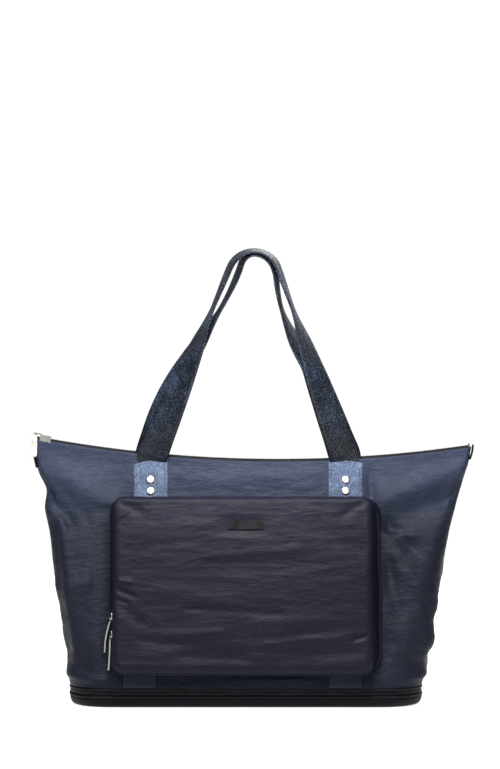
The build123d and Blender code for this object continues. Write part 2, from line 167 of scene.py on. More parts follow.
def grid_faces(rows, columns, close=False, start=0):
    faces = []
    for i in range(rows - 1):
        for j in range(columns if close else columns - 1):
            k = (j + 1) % columns
            a, b = start + i * columns, start + (i + 1) * columns
            faces.append((a + j, a + k, b + k, b + j))
    return faces


def grid_object(name, points, close=False):
    return make_object(name, points.reshape(-1, 3), grid_faces(*points.shape[:2], close))


def closed_sheet(name, top, under, uvs=None):
    """Two grids of the same size, joined round their edges."""
    rows, columns = top.shape[:2]
    count = rows * columns
    verts = np.vstack([top.reshape(-1, 3), under.reshape(-1, 3)])
    faces = grid_faces(rows, columns)
    faces += [tuple(reversed(face)) for face in grid_faces(rows, columns, start=count)]
    rim = list(range(columns))
    rim += [i * columns + columns - 1 for i in range(1, rows)]
    rim += [(rows - 1) * columns + j for j in range(columns - 2, -1, -1)]
    rim += [i * columns for i in range(rows - 2, 0, -1)]
    faces += [(a, b, b + count, a + count) for a, b in zip(rim, rim[1:] + rim[:1])]
    return face_outward(make_object(name, verts, faces, uvs))


def thicken(piece, thick, offset=-1.0):
    """Gives a sheet its thickness at once: inwards at -1, both ways at 0."""
    modifier = piece.modifiers.new("solidify", "SOLIDIFY")
    modifier.thickness = thick * MM
    modifier.offset = offset
    bpy.context.view_layer.update()
    evaluated = piece.evaluated_get(bpy.context.evaluated_depsgraph_get())
    mesh = bpy.data.meshes.new_from_object(evaluated)
    piece.modifiers.clear()
    piece.data = mesh
    mesh.polygons.foreach_set("use_smooth", [True] * len(mesh.polygons))


def face_outward(piece):
    work = bmesh.new()
    work.from_mesh(piece.data)
    bmesh.ops.recalc_face_normals(work, faces=work.faces)
    work.to_mesh(piece.data)
    work.free()
    return piece


def tube(name, path, radius, closed=True, sides=10):
    path = np.asarray(path, float)
    ahead = np.roll(path, -1, axis=0) - np.roll(path, 1, axis=0)
    if not closed:
        ahead[0] = path[1] - path[0]
        ahead[-1] = path[-1] - path[-2]
    ahead = unit(ahead)
    side = unit(np.cross(ahead, (0, 0, 1.0)))
    over = np.cross(side, ahead)
    turn = np.arange(sides) * 2 * math.pi / sides
    ring = np.cos(turn)[None, :, None] * side[:, None] + np.sin(turn)[None, :, None] * over[:, None]
    points = path[:, None] + radius * ring
    faces = grid_faces(len(path), sides, close=True)
    last = (len(path) - 1) * sides
    if closed:
        faces += [(last + j, last + (j + 1) % sides, (j + 1) % sides, j) for j in range(sides)]
    else:
        faces += [tuple(reversed(range(sides))), tuple(range(last, last + sides))]
    return face_outward(make_object(name, points.reshape(-1, 3), faces))


RIBBON_SIDES = 12


def ribbon(name, centres, across, outward, width, thick, crown=0.0):
    """Flat webbing along the centres, with rounded edges. UV in mm: across the width, then along it."""
    centres, across, outward = (np.asarray(a, float) for a in (centres, across, outward))
    width, thick, crown = (np.broadcast_to(float(a) if np.isscalar(a) else a, len(centres))
                           for a in (width, thick, crown))
    share = np.linspace(-1, 1, RIBBON_SIDES)
    edge = np.sqrt(np.clip(1 - np.abs(share) ** 12, 0, 1))
    top = np.stack([share, 0.5 * np.maximum(edge, 0.35)], axis=-1)
    loop = np.concatenate([top, top[::-1] * (1, -1)])
    rows = []
    for centre, side, out, wide, deep, curve in zip(centres, across, outward, width, thick, crown):
        bow = curve * (1 - loop[:, 0] ** 2)
        rows.append(centre + loop[:, :1] * side * wide / 2 + (loop[:, 1] * deep + bow)[:, None] * out)
    points = np.array(rows)
    length = np.concatenate([[0], np.cumsum(np.linalg.norm(np.diff(centres, axis=0), axis=1))])
    uvs = np.stack(np.broadcast_arrays(loop[None, :, 0] * width[:, None] / 2, length[:, None]), axis=-1)
    columns = len(loop)
    faces = grid_faces(len(centres), columns, close=True)
    last = (len(centres) - 1) * columns
    faces += [tuple(reversed(range(columns))), tuple(range(last, last + columns))]
    return face_outward(make_object(name, points.reshape(-1, 3), faces, uvs.reshape(-1, 2)))


ROD_SIDES = 6
# A tooth's rings: place along its length, and size.
TOOTH_ENDS = [(-0.5, 0.55), (-0.38, 1.0), (0.38, 1.0), (0.5, 0.55)]


def close_rod(faces, start, rings=4):
    """Adds the sides and both ends of a rod whose rings of points begin at `start`."""
    faces += grid_faces(rings, ROD_SIDES, close=True, start=start)
    faces.append(tuple(range(start + ROD_SIDES - 1, start - 1, -1)))
    faces.append(tuple(range(start + (rings - 1) * ROD_SIDES, start + rings * ROD_SIDES)))


def teeth(name, path, across, outward, long, wide, tall):
    """A row of small rounded teeth, one at each point of the path, each `long` across it."""
    turn = np.arange(ROD_SIDES) * 2 * math.pi / ROD_SIDES
    verts = []
    faces = []
    for centre, side, out in zip(path, across, outward):
        ahead = np.cross(side, out)
        start = len(verts)
        for end, shrink in TOOTH_ENDS:
            for angle in turn:
                spoke = math.cos(angle) * wide / 2 * ahead + math.sin(angle) * tall / 2 * out
                verts.append(centre + end * long * side + shrink * spoke)
        close_rod(faces, start)
    return face_outward(make_object(name, np.array(verts), faces))


# ---- outlines ----
def rounded_outline(half_x, half_y, corner, counts):
    """Points anticlockwise round a rounded rectangle: counts along X, along a corner and along Y."""
    along_x, along_corner, along_y = counts
    points = []
    spots = [
        ((half_x - corner, -half_y + corner), -math.pi / 2, (-1, 0), half_x, along_x),
        ((half_x - corner, half_y - corner), 0.0, (0, -1), half_y, along_y),
        ((-half_x + corner, half_y - corner), math.pi / 2, (1, 0), half_x, along_x),
        ((-half_x + corner, -half_y + corner), math.pi, (0, 1), half_y, along_y),
    ]
    for (cx, cy), start, back, half, count in spots:
        run = 2 * (half - corner)
        edge = (cx + corner * math.cos(start), cy + corner * math.sin(start))
        for k in range(count):
            left = run * (1 - k / count)
            points.append((edge[0] + back[0] * left, edge[1] + back[1] * left))
        for k in range(along_corner):
            angle = start + math.pi / 2 * k / along_corner
            points.append((cx + corner * math.cos(angle), cy + corner * math.sin(angle)))
    return np.array(points)


def even_path(points, pitch):
    """The closed or open polyline, walked in steps of about `pitch`."""
    points = np.asarray(points, float)
    gone = np.concatenate([[0], np.cumsum(np.linalg.norm(np.diff(points, axis=0), axis=1))])
    count = max(int(gone[-1] / pitch), 2)
    at = np.linspace(0, gone[-1], count)
    return np.stack([np.interp(at, gone, points[:, k]) for k in range(points.shape[1])], axis=-1)


# ---- materials ----
class Nodes:
    """Short ways to add and join shader nodes."""

    def __init__(self, name):
        self.material = bpy.data.materials.new(name)
        self.material.use_nodes = True
        self.tree = self.material.node_tree
        self.shader = self.tree.nodes["Principled BSDF"]

    def add(self, kind, inputs=None, **settings):
        node = self.tree.nodes.new(kind)
        for key, value in settings.items():
            setattr(node, key, value)
        for key, value in (inputs or {}).items():
            self.set(node, key, value)
        return node

    def set(self, node, key, value):
        if isinstance(value, bpy.types.NodeSocket):
            self.tree.links.new(value, node.inputs[key])
        else:
            node.inputs[key].default_value = value

    def place(self, uv=False):
        node = self.add("ShaderNodeTexCoord")
        return node.outputs["UV" if uv else "Object"]

    def stretched(self, vector, scale, turn=(0, 0, 0)):
        node = self.add("ShaderNodeMapping", {"Vector": vector, "Scale": scale, "Rotation": turn})
        return node.outputs["Vector"]

    def noise(self, vector, scale, detail=3.0, rough=0.5):
        inputs = {"Vector": vector, "Scale": scale, "Detail": detail, "Roughness": rough}
        return self.add("ShaderNodeTexNoise", inputs).outputs["Fac"]

    def wave(self, vector, scale, distortion=0.0, direction="X"):
        inputs = {"Vector": vector, "Scale": scale, "Distortion": distortion}
        node = self.add("ShaderNodeTexWave", inputs, bands_direction=direction)
        return node.outputs["Fac"]

    def maths(self, operation, a, b=0.0):
        return self.add("ShaderNodeMath", {0: a, 1: b}, operation=operation).outputs[0]

    def span(self, value, low, high, out_low, out_high):
        inputs = {"Value": value, "From Min": low, "From Max": high, "To Min": out_low, "To Max": out_high}
        return self.add("ShaderNodeMapRange", inputs).outputs["Result"]

    def ramp(self, value, stops):
        node = self.add("ShaderNodeValToRGB", {"Fac": value})
        elements = node.color_ramp.elements
        while len(elements) < len(stops):
            elements.new(0.5)
        for element, (at, colour) in zip(elements, stops):
            element.position = at
            element.color = (*colour, 1.0)
        return node.outputs["Color"]

    def bump(self, height, distance, strength=1.0, under=None):
        inputs = {"Height": height, "Distance": distance, "Strength": strength}
        node = self.add("ShaderNodeBump", inputs)
        if under is not None:
            self.set(node, "Normal", under)
        return node.outputs["Normal"]

    def constants(self, values):
        for key, value in values.items():
            self.shader.inputs[key].default_value = value

    def finish(self, colour, roughness, normal):
        self.set(self.shader, "Base Color", colour)
        self.set(self.shader, "Roughness", roughness)
        if normal is not None:
            self.set(self.shader, "Normal", normal)
        return self.material


def shade(colour, factor):
    return tuple(c * factor for c in colour)


def painted_shade_below(n, place, colour, shade_heights, low):
    """Painted shade: the colour painted darker below, `low` times it at the first of the two heights, in
    metres.
    """
    height = n.add("ShaderNodeSeparateXYZ", {0: place})
    fade = n.span(height.outputs["Z"], *shade_heights, low, 1.0)
    return n.add("ShaderNodeHueSaturation", {"Color": colour, "Value": fade}).outputs["Color"]


def crinkled_nylon(name, colour, gloss, shade_heights=(0.0, 1.0), low=1.0, relief=1.0):
    """Light nylon: a fine weave, small crinkles that run mostly sideways, and broad patches of tone."""
    n = Nodes(name)
    place = n.place()
    crinkle_place = n.stretched(place, (1.0, 1.0, 2.6))
    broad = n.noise(place, 9.0, 2.0)
    crinkle = n.noise(crinkle_place, 85.0, 5.0, 0.62)
    fine = n.noise(crinkle_place, 260.0, 3.0, 0.6)
    weave_x = n.wave(place, 620.0, direction="X")
    weave_z = n.wave(place, 620.0, direction="Z")
    weave = n.maths("MULTIPLY", weave_x, weave_z)
    tone = n.maths("ADD", n.maths("MULTIPLY", broad, 0.45), n.maths("MULTIPLY", crinkle, 0.55))
    colours = n.ramp(tone, [(0.3, shade(colour, 0.7)), (0.5, colour), (0.72, shade(colour, 1.4))])
    # Painted shade: darker below the given heights.
    if low < 1.0:
        colours = painted_shade_below(n, place, colours, shade_heights, low)
    rough = n.span(crinkle, 0.25, 0.75, gloss + 0.09, gloss - 0.06)
    normal = n.bump(crinkle, 0.0016 * relief, 0.85)
    normal = n.bump(fine, 0.0005 * relief, 0.7, normal)
    normal = n.bump(weave, 0.00006, 0.5, normal)
    n.constants({"Specular IOR Level": 0.08})
    return n.finish(colours, rough, normal)


def twill_webbing(name, colour, bright, sheen, contrast, shade_heights, low, gloss=0.42):
    """Webbing with a diagonal rib, painted darker in the grooves as painted shade, and lighter patches of
    painted sheen. UV is in millimetres.
    """
    n = Nodes(name)
    uv = n.place(uv=True)
    rib_place = n.stretched(uv, (1.0, 1.0, 1.0), (0, 0, math.radians(38)))
    rib = n.wave(rib_place, 0.15)
    fine = n.wave(uv, 0.62, direction="Y")
    # Painted sheen: lighter patches where this noise is high.
    sheen_patches = n.noise(n.place(), 26.0, 4.0, 0.65)
    thread = n.noise(n.place(), 700.0, 2.0)
    height = n.maths("ADD", n.maths("MULTIPLY", rib, 0.75), n.maths("MULTIPLY", fine, 0.25))
    speck = n.noise(n.place(), 420.0, 2.0, 0.6)
    lit = n.span(sheen_patches, 0.35, 0.65, 0.0, 0.22)
    # Painted shade: the rib's grooves darker, its ridges lighter.
    tone = n.maths("ADD", n.maths("MULTIPLY", rib, contrast), n.maths("MULTIPLY", speck, 1.02 - contrast))
    tone = n.maths("ADD", tone, lit)
    colours = n.ramp(tone, [(0.3, shade(colour, 0.4)), (0.62, colour), (1.0, bright)])
    # Painted shade: darker below the given heights.
    colours = painted_shade_below(n, n.place(), colours, shade_heights, low)
    rough = n.span(thread, 0.3, 0.7, gloss - 0.05, gloss + 0.07)
    normal = n.bump(height, 0.00045, 0.9)
    normal = n.bump(thread, 0.0001, 0.5, normal)
    n.constants({"Sheen Weight": sheen, "Sheen Roughness": 0.35, "Sheen Tint": (0.5, 0.66, 1.0, 1.0),
                 "Specular IOR Level": 0.11})
    return n.finish(colours, rough, normal)


def plain_cloth(name, colour, gloss):
    n = Nodes(name)
    place = n.place()
    speckle = n.noise(place, 420.0, 3.0)
    patches = n.noise(place, 30.0, 2.0)
    tone = n.maths("ADD", n.maths("MULTIPLY", speckle, 0.5), n.maths("MULTIPLY", patches, 0.5))
    colours = n.ramp(tone, [(0.3, shade(colour, 0.7)), (0.7, shade(colour, 1.3))])
    normal = n.bump(speckle, 0.0003, 0.7)
    n.constants({"Specular IOR Level": 0.12})
    return n.finish(colours, n.span(patches, 0.3, 0.7, gloss - 0.05, gloss + 0.06), normal)


def metal(name, colour, gloss):
    n = Nodes(name)
    place = n.place()
    brushed = n.noise(n.stretched(place, (1.0, 1.0, 9.0)), 160.0, 3.0)
    smudge = n.noise(place, 60.0, 2.0)
    colours = n.ramp(smudge, [(0.3, shade(colour, 0.86)), (0.7, colour)])
    normal = n.bump(brushed, 0.00004, 0.4)
    n.constants({"Metallic": 1.0})
    return n.finish(colours, n.span(smudge, 0.3, 0.7, gloss - 0.05, gloss + 0.08), normal)


def smooth_plastic(name, colour, gloss):
    n = Nodes(name)
    grain = n.noise(n.place(), 300.0, 2.0)
    colours = n.ramp(grain, [(0.3, shade(colour, 0.8)), (0.7, shade(colour, 1.25))])
    return n.finish(colours, n.span(grain, 0.3, 0.7, gloss - 0.04, gloss + 0.05), n.bump(grain, 0.00003, 0.4))


# Painted shade: the body nylon is painted darker below 0.2 to 0.27 m and the pocket a little darker below
# 0.18 to 0.25 m, so the upper cloth reads as lit from above.
BODY_NYLON = crinkled_nylon("body_nylon", (0.0165, 0.021, 0.0375), 0.46, (0.2, 0.268), 0.36, 1.15)
POCKET_NYLON = crinkled_nylon("pocket_nylon", (0.0062, 0.006, 0.0125), 0.46, (0.18, 0.25), 0.75, 0.6)
BASE_NYLON = crinkled_nylon("base_nylon", (0.0008, 0.001, 0.0017), 0.5)
PLEAT_NYLON = crinkled_nylon("pleat_nylon", (0.006, 0.007, 0.012), 0.55)
LINING = plain_cloth("lining_cloth", (0.03, 0.035, 0.055), 0.7)
PIPING = plain_cloth("piping_cloth", (0.0022, 0.0026, 0.0045), 0.5)
TAPE = plain_cloth("zip_tape", (0.002, 0.0022, 0.003), 0.65)
COIL = smooth_plastic("zip_coil", (0.003, 0.003, 0.004), 0.35)
# Painted shade: the handles are painted darker towards their feet, and the straps darker low down, under and
# behind the pocket.
HANDLE = twill_webbing("handle_webbing", (0.0022, 0.003, 0.0055), (0.042, 0.062, 0.105), sheen=0.0,
                       contrast=0.22, shade_heights=(0.29, 0.4), low=0.4)
PATCH = twill_webbing("patch_webbing", (0.045, 0.062, 0.1), (0.12, 0.16, 0.24), sheen=0.03,
                      contrast=0.12, shade_heights=(0.08, 0.2), low=0.22)
STITCH = plain_cloth("stitch_thread", (0.012, 0.016, 0.028), 0.55)
NICKEL = metal("satin_nickel", (0.55, 0.54, 0.51), 0.3)
PULL_METAL = metal("pull_metal", (0.33, 0.32, 0.3), 0.34)
DARK_METAL = metal("dark_metal", (0.022, 0.022, 0.024), 0.3)


def dress(piece, material, body, slot, *nodes):
    """The usual last steps for a piece: its material, the body it rides on, and what it stands for."""
    piece.data.materials.clear()
    piece.data.materials.append(material)
    if body is not None:
        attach(piece, body)
    if nodes:
        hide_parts(*nodes)
    return piece


# ---- the body shell ----
BODY_COUNTS = (210, 12, 16)
BODY_ROWS = 130
BODY_THICK = 1.6
TOP_DEEP = 4.4
HEM_DROP = 3.4        # the shell's top edge, below the zip line

# Each strap: X at the rim, X at the base, the side of the bag that it runs up, and its top's slant.
STRAPS = {
    "front_left": (HANDLE_ENDS[0], HANDLE_ENDS[0] - 12.0, -1, 4.2),
    "front_right": (HANDLE_ENDS[1], HANDLE_ENDS[1] - 1.0, -1, -2.6),
    "back_left": (HANDLE_ENDS[0], HANDLE_ENDS[0] - 1.0, 1, 1.5),
    "back_right": (HANDLE_ENDS[1], HANDLE_ENDS[1] - 1.0, 1, -1.5),
}


def strap_x(z, x, bottom_x):
    return bottom_x + (x - bottom_x) * smooth((z - 30) / 200)


# Folds of the front: both ends as (x, z), how far the ridge stands out, and how wide it is.
FRONT_FOLDS = [
    ((-214, 214), (-196, 36), 2.2, 7),      # the long fold beside the left edge
    ((-222, 206), (-206, 60), -1.5, 6),
    ((-236, 246), (-206, 214), -4.0, 7),    # from the pinch in the left edge
    ((-200, 36), (-168, 33), 4.2, 6),       # the roll over the piping at the lower left
    ((158, 214), (190, 186), -5.0, 10),     # the hollow beside the pocket's upper right corner
    ((164, 196), (188, 196), 3.2, 6),
    ((176, 230), (232, 236), -3.0, 12),
    ((196, 34), (228, 40), 3.2, 6),
    ((-157, 42), (-184, 23), 4.5, 8),       # off the pocket's lower left corner
    ((-166, 60), (-196, 34), -2.5, 9),
    ((150, 226), (256, 279), 5.0, 15),      # from the pocket's upper right corner to the bag's
    ((158, 206), (262, 252), -3.5, 17),
    ((-158, 226), (-243, 290), 4.0, 15),    # and on the left
    ((-164, 205), (-240, 250), -2.5, 16),
    ((139, 268), (150, 222), -3.0, 7),      # beside the right handle patch
    ((-92, 276), (-52, 284), -2.6, 6),      # beside the left one
    ((-86, 262), (-20, 258), 1.6, 9),
    ((20, 262), (88, 270), 1.6, 8),
    ((165, 160), (176, 112), -3.5, 9),      # the dent beside the pocket
    ((204, 108), (216, 70), 3.0, 6),        # crossing folds low on the right
    ((217, 108), (203, 34), 2.4, 6),
    ((190, 150), (226, 116), 2.6, 9),
    ((172, 72), (205, 30), -2.4, 9),
    ((-170, 150), (-224, 128), 2.4, 12),
    ((-168, 118), (-214, 60), -2.2, 12),
]
BACK_FOLDS = [
    ((-150, 230), (-238, 286), 4.5, 16),
    ((150, 232), (246, 280), 4.5, 16),
    ((-120, 120), (30, 96), 4.0, 26),
    ((-40, 180), (150, 150), -3.5, 28),
    ((80, 70), (200, 44), 3.5, 20),
    ((-190, 90), (-90, 48), -3.0, 18),
    ((-60, 250), (60, 246), 2.0, 14),
]


def fold_lift(x, z, folds):
    lift = np.zeros(x.shape)
    for (x0, z0), (x1, z1), height, width in folds:
        run = np.array([x1 - x0, z1 - z0], float)
        length = np.linalg.norm(run)
        run /= length
        along = (x - x0) * run[0] + (z - z0) * run[1]
        off = (x - x0) * -run[1] + (z - z0) * run[0]
        past = np.clip(-along, 0, None) + np.clip(along - length, 0, None)
        lift += height * np.exp(-((off / width) ** 2)) * np.exp(-((past / (1.6 * width)) ** 2))
    return lift


def body_section(z, inset):
    """Half width, half depth, corner radius and sideways shift of the body at a height."""
    rise = z - BAND_TOP
    half_x = BASE_HALF + (RIM_HALF - BASE_HALF) * rise / (RIM_Z - BAND_TOP) - inset
    deep = BASE_DEEP - TAPER * rise - inset / math.cos(LEAN)
    half_y = 0.5 * (deep + TOP_DEEP + np.sqrt((deep - TOP_DEEP) ** 2 + 9.0))
    corner = np.minimum(BASE_CORNER * (1 - 0.86 * rise / (RIM_Z - BAND_TOP)), half_y - 0.4)
    return half_x, half_y, np.maximum(corner, 0.4), SLUMP * rise / (RIM_Z - BAND_TOP)


# Where the sides are pulled in: which side, how far, at which height, over how much.
SIDE_PULLS = [(1, 5.0, 190.0, 62.0), (1, 2.4, 96.0, 12.0), (1, 2.6, 52.0, 9.0), (1, -1.8, 74.0, 12.0),
              (-1, 6.0, 247.0, 14.0), (-1, 2.4, 196.0, 26.0), (-1, 2.2, 118.0, 18.0), (-1, 2.6, 62.0, 10.0),
              (-1, -2.6, 38.0, 9.0)]
SIDE_REACH = 240.0
BELLY = 6.0           # how far the cloth stands out halfway up, at the sides only
BELLY_FROM = 138.0
SECTIONS = 90


def body_points(inset, counts, rows, folded):
    """A grid over the body, from the base band up to the zip: rows by points round the outline."""
    rim = rounded_outline(RIM_HALF, TOP_DEEP, TOP_DEEP - 0.4, counts)
    top_z = arc_z(np.clip(rim[:, 0] + SLUMP, ZIP_LEFT_X, ZIP_RIGHT_X), HEM_DROP)
    z = BAND_TOP + np.linspace(0, 1, rows)[:, None] * (top_z - BAND_TOP)
    levels = np.linspace(BAND_TOP, z.max(), SECTIONS)
    sections = [body_section(level, inset) for level in levels]
    outlines = np.array([rounded_outline(a, b, min(c, b - 0.2), counts) + (shift, 0)
                         for a, b, c, shift in sections])
    points = np.empty((*z.shape, 3))
    for column in range(z.shape[1]):
        points[:, column, 0] = np.interp(z[:, column], levels, outlines[:, column, 0])
        points[:, column, 1] = np.interp(z[:, column], levels, outlines[:, column, 1])
    points[..., 2] = z
    if folded:
        for which, depth, at_z, over in SIDE_PULLS:
            side = np.clip(which * points[..., 0] / SIDE_REACH, 0, 1) ** 4
            points[..., 0] -= which * depth * side * np.exp(-(((z - at_z) / over) ** 2))
        rise = np.clip((z - BAND_TOP) / (ZIP_LOW_Z - BAND_TOP), 0, 1)
        loose = np.sin(math.pi * rise) * smooth(np.abs(points[..., 1]) / 12)
        loose *= smooth((np.abs(points[..., 0]) - BELLY_FROM) / 40)
        points[..., 1] += np.sign(points[..., 1]) * BELLY * loose
        points = crease(points)
    return points


FOLD_GAIN = 1.25
# Soft waves and small crinkles: how far each moves the cloth, and its wavelength along X, Y and Z.
BODY_WAVES = [(3.0, (95, 95, 120)), (1.6, (38, 38, 26)), (0.6, (26, 26, 8)), (0.28, (13, 13, 3.6))]
# The cloth lies flat behind the pocket, and on the left as far as the zip's pullers reach.
FLAT_LEFT = 186
FLAT_RIGHT = 165


def crease(points):
    """Moves the shell out and in along its normals: folds, soft waves, and small sideways crinkles."""
    along = np.roll(points, -1, axis=1) - np.roll(points, 1, axis=1)
    up = np.gradient(points, axis=0)
    normal = np.cross(along, up)
    normal /= np.linalg.norm(normal, axis=2)[..., None] + 1e-9
    x, z = points[..., 0], points[..., 2]
    front = smooth((-normal[..., 1] + 0.2) / 0.6)
    lift = front * fold_lift(x, z, FRONT_FOLDS) + (1 - front) * fold_lift(x, z, BACK_FOLDS)
    lift *= FOLD_GAIN
    for seed, (height, size) in enumerate(BODY_WAVES, start=1):
        lift += height * cloth_noise(points, size, seed)
    share = (z - z.min(axis=0)) / (z.max(axis=0) - z.min(axis=0))
    held = smooth(share / 0.05) * smooth((1 - share) / 0.07)
    flat_to = np.where(x < 0, FLAT_LEFT, FLAT_RIGHT)
    behind = smooth((flat_to - np.abs(x)) / 12) * smooth((235 - z) / 12) * smooth((z - 30) / 8)
    loose = 1 - 0.92 * front * behind
    for foot_x, bottom_x, side, _ in STRAPS.values():
        beside = np.abs(x - strap_x(z, foot_x, bottom_x))
        same_side = front if side < 0 else 1 - front
        loose *= 1 - 0.97 * same_side * smooth((29 - beside) / 8)
    thin = smooth((np.abs(points[..., 1]) - 3.0) / 10.0)
    return points + (lift * held * loose * (0.25 + 0.75 * thin))[..., None] * normal


LINING_INSET = 11.0
LINING_COUNTS = (60, 5, 8)
LINING_ROWS = 30


def make_body():
    shell = grid_object("body_shell", body_points(0.0, BODY_COUNTS, BODY_ROWS, True), close=True)
    thicken(shell, BODY_THICK)
    dress(shell, BODY_NYLON, "upper", "body_nylon", "front_panel", "back_panel")
    inner = body_points(LINING_INSET, LINING_COUNTS, LINING_ROWS, False)
    lining = grid_object("body_lining", inner[:-3], close=True)
    thicken(lining, 0.6)
    dress(lining, LINING, "upper", "lining_cloth", "lining")


# ---- base band ----
PIPING_RADIUS = 1.4
LOWER_PIPING_Z = 12.3
UPPER_PIPING_Z = 20.9
BASE_PATH = (90, 14, 30)


def base_loop(inset, closed=True):
    loop = rounded_outline(BASE_HALF - inset, BASE_DEEP - inset, BASE_CORNER - inset, BASE_PATH)
    return np.vstack([loop, loop[:1]]) if closed else loop


def level(loop, z):
    return np.column_stack([loop, np.full(len(loop), z)])


def outward_of(path):
    """Level outward directions along a closed anticlockwise path."""
    return np.cross(unit(np.gradient(path, axis=0)), (0, 0, 1.0))


# The base's rounded edge: how far in from the outline, and the height.
BASE_PROFILE = [(0.0, 11.4), (0.0, 9.0), (0.5, 6.2), (2.0, 3.2), (4.4, 1.2), (7.5, 0.2), (12, 0), (30, 0),
                (60, 0)]
PAD_INSET = 6
PAD_Z = 2.7


def make_base():
    rows = []
    for inset, z in BASE_PROFILE:
        loop = level(base_loop(inset, closed=False), z)
        out = outward_of(loop)
        wobble = 0.55 * cloth_noise(loop, (46, 46, 20), 11) + 0.3 * cloth_noise(loop, (17, 17, 9), 12)
        if inset < 7:
            loop = loop + wobble[:, None] * out * (1 - inset / 9)
        rows.append(loop)
    points = np.array(rows)
    columns = points.shape[1]
    verts = points.reshape(-1, 3)
    faces = grid_faces(len(rows), columns, close=True)
    last = (len(rows) - 1) * columns
    faces.append(tuple(range(last, last + columns)))
    tray = face_outward(make_object("base_tray", verts, faces))
    thicken(tray, 1.8)
    dress(tray, BASE_NYLON, "base", "body_nylon", "base_panel")
    edge = rounded_outline(BASE_HALF - PAD_INSET, BASE_DEEP - PAD_INSET, BASE_CORNER - PAD_INSET, (40, 8, 16))
    shares = np.linspace(0.04, 1, 14)
    pad = np.array([level(edge * share, PAD_Z + 0.25 * math.sin(9 * share)) for share in shares])
    pad_faces = grid_faces(len(shares), len(edge), close=True) + [tuple(range(len(edge)))]
    cloth = face_outward(make_object("base_lining", pad.reshape(-1, 3), pad_faces))
    thicken(cloth, 0.6, 0.0)
    dress(cloth, LINING, "base", "lining_cloth", "lining_base")


def make_piping(name, z, body, node, seed):
    path = level(even_path(base_loop(0.4), 3.0)[:-1], z)
    out = outward_of(path)
    # The back runs straight, because the expansion zip's slider passes between the two pipings there.
    loose = smooth((60 - path[:, 1]) / 40)
    path = path + (0.3 * loose * cloth_noise(path, (30, 30, 30), seed))[:, None] * out
    path[:, 2] += 0.35 * loose * cloth_noise(path, (50, 50, 50), seed + 1)
    dress(tube(name, path, PIPING_RADIUS), PIPING, body, "piping_cloth", node)


PLEATS = 3
PLEAT_STEPS = 25
PLEAT_INSET = 3.6
PLEAT_DEEP = 6.8
PLEAT_LOW_Z = 3.9
PLEAT_TALL = 16.4


def make_expansion_zip():
    for part, body, tape_z, coil_z in (
        ("lower", "base", (11.2, 15.2), 15.7),
        ("upper", "upper", (17.9, 21.9), 17.4),
    ):
        rows = np.array([level(base_loop(2.0 + 0.25 * math.sin(k), closed=False), z)
                         for k, z in enumerate(np.linspace(*tape_z, 5))])
        tape = grid_object(f"expansion_tape_{part}_cloth", rows, close=True)
        thicken(tape, 0.8)
        dress(tape, TAPE, body, "zip_tape", f"expansion_tape_{part}")
        path = level(even_path(base_loop(1.7), 2.1)[:-1], coil_z)
        out = outward_of(path)
        up = np.broadcast_to((0, 0, 1.0), path.shape)
        row = teeth(f"expansion_teeth_{part}", path, up, out, 1.35, 1.25, 1.5)
        dress(row, COIL, body, "zip_coil", f"expansion_coil_{part}")
    pleat = []
    for share in np.arange(PLEAT_STEPS) / (PLEAT_STEPS - 1):
        fold = 0.5 - 0.5 * math.cos(share * PLEATS * 2 * math.pi)
        loop = base_loop(PLEAT_INSET + PLEAT_DEEP * fold, closed=False)
        pleat.append(level(loop, PLEAT_LOW_Z + PLEAT_TALL * share))
    gusset = grid_object("expansion_pleats", np.array(pleat), close=True)
    thicken(gusset, 0.5)
    dress(gusset, PLEAT_NYLON, None, "body_nylon", "expansion_gusset")
    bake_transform(gusset)


# ---- the top zip ----
TOP_TEETH_PITCH = 2.3
TAPE_STEPS = 220
# The tape's rows: how far below the zip line, and how far from the bag's middle plane.
TAPE_ROWS = [(14.0, 2.6), (9.0, 2.7), (6.0, 2.5), (3.6, 2.0), (2.0, 1.4), (1.2, 0.8)]
LEFT_TAB_LONG = 37.0
RIGHT_TAB_LONG = 17.0
TAB_WIDE = 10.5
TAB_THICK = 2.2
TAB_STEPS = 14


def make_top_zip():
    xs = np.linspace(ZIP_LEFT_X + 2, ZIP_RIGHT_X - 2, TAPE_STEPS)
    for name, side, node in (("front", -1, "top_zip_tape_front"), ("back", 1, "top_zip_tape_back")):
        rows = []
        for drop, y in TAPE_ROWS:
            line = np.stack([xs, np.full(len(xs), side * y), arc_z(xs, drop)], axis=-1)
            wobble = 0.25 * cloth_noise(line, (26, 26, 26), 21 + side)
            line[:, 1] += side * np.abs(wobble)
            rows.append(line)
        tape = grid_object(f"top_tape_{name}", np.array(rows))
        thicken(tape, 0.7, 0.0)
        dress(face_outward(tape), TAPE, "upper", "zip_tape", node)
    spots = np.arange(ZIP_LEFT_X + 6, ZIP_RIGHT_X - 5, TOP_TEETH_PITCH)
    path = np.stack([spots, np.zeros(len(spots)), arc_z(spots, 1.2)], axis=-1)
    slope = unit(np.gradient(path, axis=0))
    over = np.stack([-slope[:, 2], slope[:, 1], slope[:, 0]], axis=-1)
    sideways = np.broadcast_to((0, 1.0, 0), path.shape)
    row = teeth("top_teeth", path, sideways, over, 4.4, 1.5, 1.9)
    dress(row, COIL, "upper", "zip_coil", "top_zip_coil")
    make_end_tab("end_tab_left", -1, LEFT_TAB_LONG, "zip_end_tab_left")
    make_end_tab("end_tab_right", 1, RIGHT_TAB_LONG, "zip_end_tab_right")


def side_edge(z, side):
    """X of the body's left or right edge at a height."""
    half_x, _, _, shift = body_section(z, 0.0)
    return side * half_x + shift


